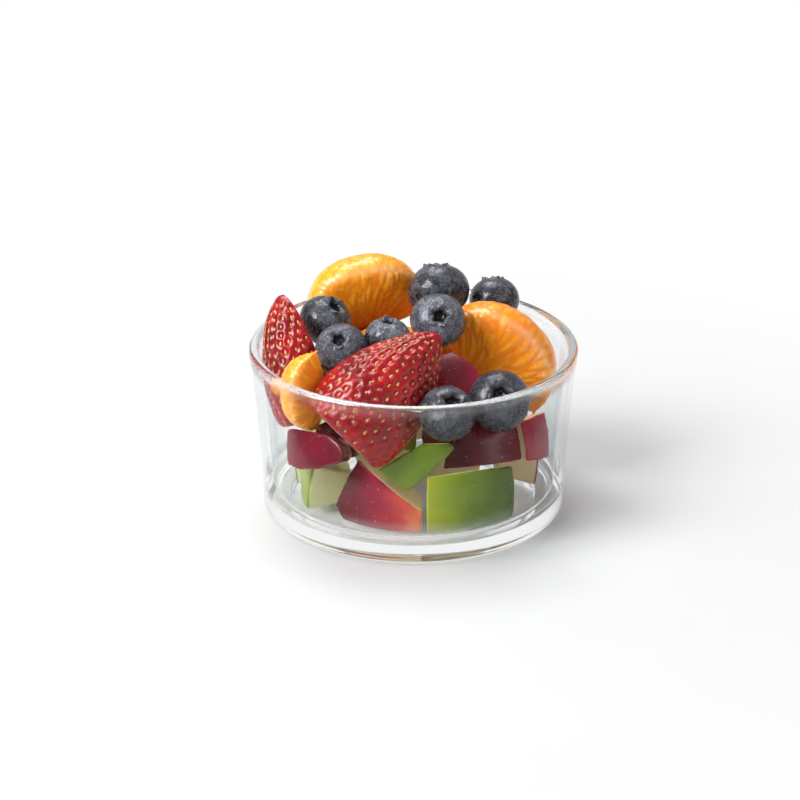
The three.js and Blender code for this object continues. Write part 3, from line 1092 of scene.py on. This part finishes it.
def apple_material(name, skin_stops, dot_colour, flesh, settings):
    """Apple skin with its pale dots, over pale wet flesh where the knife went through."""
    material, tree, shader = blank_material(name)
    set_values(shader, {
        "IOR": FRUIT_IOR, "Coat Weight": 0.15, "Coat Roughness": 0.12,
        "Subsurface Weight": 0.2, "Subsurface Radius": (1.0, 0.7, 0.35), "Subsurface Scale": 1.8 * MM,
    })
    place = object_place(tree)
    broad = maths(tree, "SUBTRACT", grain(tree, place, 0.1, 3), 0.5)
    blotches = times(tree, broad, 0.55)
    # The skin's tone is partly real ripening and partly painted light and shade.
    ripeness_and_light = plus(tree, attribute(tree, "ripeness_and_light"), blotches)
    skin = ramp(tree, ripeness_and_light, skin_stops)
    dotted = effect(
        tree, "Pale Dots", pale_dots_group,
        {"Dot Color": (*dot_colour, 1), "Per Millimetre": 0.75, "Size": 0.09}, {"Skin Color": skin},
    )
    mealy = spread(tree, grain(tree, place, 0.9, 4, 0.7), 0.3, 0.7, 0, 0.35)
    fleshy = blend(tree, mealy, flesh, tuple(value * 0.72 for value in flesh))
    depth = plus(tree, attribute(tree, "depth"), times(tree, broad, 0.3))
    edge = spread(tree, depth, settings.skin_depth * 0.7, settings.skin_depth * 1.5)
    lumps = effect(tree, "Wet Lumps", wet_lumps_group, {"Per Millimetre": 0.5, "Fine Share": 0.6})
    height = times(tree, lumps, spread(tree, edge, 0, 1, 0.25, 1))
    feed(tree, shader, {
        "Base Color": blend(tree, edge, dotted, fleshy), "Roughness": spread(tree, edge, 0, 1, 0.24, 0.38),
        "Normal": bumped(tree, height, 0.12),
    })
    return material


# Skin colours from dark to bright, for ripening and also for painted shade and painted light.
RED_SKIN = [
    (0.0, (0.055, 0.002, 0.006)), (0.3, (0.15, 0.004, 0.016)), (0.55, (0.3, 0.012, 0.035)),
    (0.8, (0.55, 0.06, 0.05)), (1.0, (0.72, 0.2, 0.08)),
]
GREEN_SKIN = [
    (0.0, (0.045, 0.085, 0.005)), (0.4, (0.12, 0.19, 0.01)), (0.7, (0.24, 0.32, 0.018)),
    (1.0, (0.36, 0.4, 0.025)),
]
RED_DOT = (0.6, 0.3, 0.25)
GREEN_DOT = (0.42, 0.5, 0.12)


class FRUITCUP_OT_apples(bpy.types.Operator):
    """Shapes each chunk of red and green apple, skin and flesh"""

    bl_idname = "fruitcup.apples"
    bl_label = "Apple Chunks"

    def execute(self, context):
        settings = context.scene.fruit_cup_apples
        greenish = tuple(settings.flesh)
        pinkish = (greenish[0] * 1.05, greenish[1] * 0.8, greenish[2] * 0.85)
        materials = {
            "red_apple": apple_material("Red Apple", RED_SKIN, RED_DOT, pinkish, settings),
            "green_apple": apple_material("Green Apple", GREEN_SKIN, GREEN_DOT, greenish, settings),
        }
        for node, turn, tilt, left, right in APPLES:
            slot = node.rsplit("_", 1)[0]
            bm = chunk_shape(node, turn, tilt, left, right, settings)
            finished(bm, node, [materials[slot]])
        return {"FINISHED"}


# The stage


class StageSettings(bpy.types.PropertyGroup):
    """The floor, lights and camera."""

    floor: FloatVectorProperty(
        name="Floor", description="Colour of the floor", subtype="COLOR", size=3, default=(0.64, 0.645, 0.65),
    )
    sky: FloatProperty(name="Surround", description="Light that the white surround casts", default=0.34)
    glass_sky: FloatProperty(
        name="Surround in Glass", description="Brightness of the surround in the glass", default=0.9,
    )
    key: FloatProperty(name="Key Light", description="Power of the large light at the left", default=9.0)
    top: FloatProperty(name="Top Light", description="Power of the light overhead", default=5.0)
    fill: FloatProperty(name="Fill Light", description="Power of the light at the right", default=1.2)


def soft_light(name, place, aim, size, power):
    """A square light of that size, in metres, aimed at a point."""
    data = bpy.data.lights.new(name, "AREA")
    data.shape = "SQUARE"
    data.size = size
    data.energy = power
    lamp = bpy.data.objects.new(name, data)
    lamp.location = place
    lamp.rotation_euler = (Vector(aim) - Vector(place)).to_track_quat("-Z", "Y").to_euler()
    bpy.context.scene.collection.objects.link(lamp)


def grey_card(side):
    """An upright card beside the cup that shows only in reflections and bent light; side is -1 or 1."""
    bm = bmesh.new()
    bmesh.ops.create_grid(bm, x_segments=1, y_segments=1, size=0.5)
    place = Matrix.Translation((side * 0.3, 0, 0.1)) @ Matrix.Rotation(math.pi / 2, 4, "Y")
    bmesh.ops.transform(bm, matrix=place @ Matrix.Diagonal((0.2, 0.5, 1, 1)), verts=bm.verts)
    material, _, shader = blank_material("Grey Card")
    set_values(shader, {"Base Color": (0.12, 0.125, 0.13, 1), "Roughness": 1.0})
    card = placed(bm, f"card_{'left' if side < 0 else 'right'}", [material])
    card.visible_camera = False
    card.visible_diffuse = False
    card.visible_shadow = False


FLOOR_FADE = (0.07, 0.2)  # how far from the cup the floor starts to fade and has turned white


def floor_material(settings):
    """A pale table top that fades into pure white away from the cup."""
    material, tree, shader = blank_material("Pale Floor")
    set_values(shader, {"Roughness": 0.6, "Specular IOR Level": 0.2})
    place = object_place(tree)
    tone = spread(tree, grain(tree, place, 0.02, 3), 0.3, 0.7, 0.97, 1.0)
    feed(tree, shader, {"Base Color": blend(tree, tone, (0, 0, 0), settings.floor)})
    far = add_node(tree, "VectorMath", {0: place}, operation="LENGTH").outputs["Value"]
    white = add_node(tree, "Emission", {"Color": (1, 1, 1, 1), "Strength": 1.0})
    show(tree, mixed(tree, spread(tree, far, *FLOOR_FADE), shader.outputs[0], white.outputs[0]))
    return material


class FRUITCUP_OT_stage(bpy.types.Operator):
    """Sets the floor, the soft lights and the camera"""

    bl_idname = "fruitcup.stage"
    bl_label = "Stage"

    def execute(self, context):
        settings = context.scene.fruit_cup_stage
        scene = context.scene
        bm = bmesh.new()
        bmesh.ops.create_grid(bm, x_segments=8, y_segments=8, size=3)
        placed(bm, "floor", [floor_material(settings)])

        soft_light("key", (-0.6, -0.3, 0.6), (0, 0, 0.03), 0.4, settings.key)
        soft_light("top", (-0.1, 0.35, 0.8), (0, 0, 0.03), 0.5, settings.top)
        soft_light("fill", (0.7, -0.45, 0.35), (0, 0, 0.03), 0.5, settings.fill)
        for side in (-1, 1):
            grey_card(side)

        world = bpy.data.worlds.new("white_surround")
        world.use_nodes = True
        tree = world.node_tree
        ray = add_node(tree, "LightPath")
        cast = maths(tree, "MAXIMUM", ray.outputs["Is Diffuse Ray"], ray.outputs["Is Glossy Ray"])
        less = times(tree, cast, settings.glass_sky - settings.sky)
        background = tree.nodes["Background"]
        background.inputs["Color"].default_value = (1, 1, 1, 1)
        tree.links.new(maths(tree, "SUBTRACT", settings.glass_sky, less), background.inputs["Strength"])
        scene.world = world
        scene.view_settings.view_transform = "Standard"

        data = bpy.data.cameras.new("camera")
        data.lens = CAMERA_LENS
        data.sensor_width = 36
        data.clip_start = 0.01
        camera = bpy.data.objects.new("camera", data)
        camera.location = CAMERA_PLACE
        camera.rotation_euler = (math.radians(90 - CAMERA_DOWN), 0, 0)
        scene.collection.objects.link(camera)
        scene.camera = camera
        return {"FINISHED"}


class FRUITCUP_PT_panel(bpy.types.Panel):
    """Lists the pieces of the fruit cup"""

    bl_label = "Fruit Cup"
    bl_idname = "FRUITCUP_PT_panel"
    bl_space_type = "VIEW_3D"
    bl_region_type = "UI"
    bl_category = "Fruit Cup"

    def draw(self, context):
        for operator, settings in PARTS:
            box = self.layout.box()
            box.operator(operator.bl_idname)
            group = getattr(context.scene, settings)
            for name in group.__annotations__:
                box.prop(group, name)


SETTINGS = {
    "fruit_cup_glass": GlassSettings,
    "fruit_cup_blueberries": BlueberrySettings,
    "fruit_cup_strawberries": StrawberrySettings,
    "fruit_cup_mandarins": MandarinSettings,
    "fruit_cup_apples": AppleSettings,
    "fruit_cup_stage": StageSettings,
}
PARTS = [
    (FRUITCUP_OT_stage, "fruit_cup_stage"),
    (FRUITCUP_OT_glass, "fruit_cup_glass"),
    (FRUITCUP_OT_blueberries, "fruit_cup_blueberries"),
    (FRUITCUP_OT_strawberries, "fruit_cup_strawberries"),
    (FRUITCUP_OT_mandarins, "fruit_cup_mandarins"),
    (FRUITCUP_OT_apples, "fruit_cup_apples"),
]
CLASSES = [*SETTINGS.values(), *(operator for operator, _ in PARTS), FRUITCUP_PT_panel]


def register():
    for item in CLASSES:
        bpy.utils.register_class(item)
    for name, group in SETTINGS.items():
        setattr(bpy.types.Scene, name, PointerProperty(type=group))


def unregister():
    for name in SETTINGS:
        delattr(bpy.types.Scene, name)
    for item in reversed(CLASSES):
        bpy.utils.unregister_class(item)


def main():
    register()
    bpy.ops.fruitcup.stage()
    bpy.ops.fruitcup.glass()
    bpy.ops.fruitcup.blueberries()
    bpy.ops.fruitcup.strawberries()
    bpy.ops.fruitcup.mandarins()
    bpy.ops.fruitcup.apples()


if __name__ == "__main__":
    main()
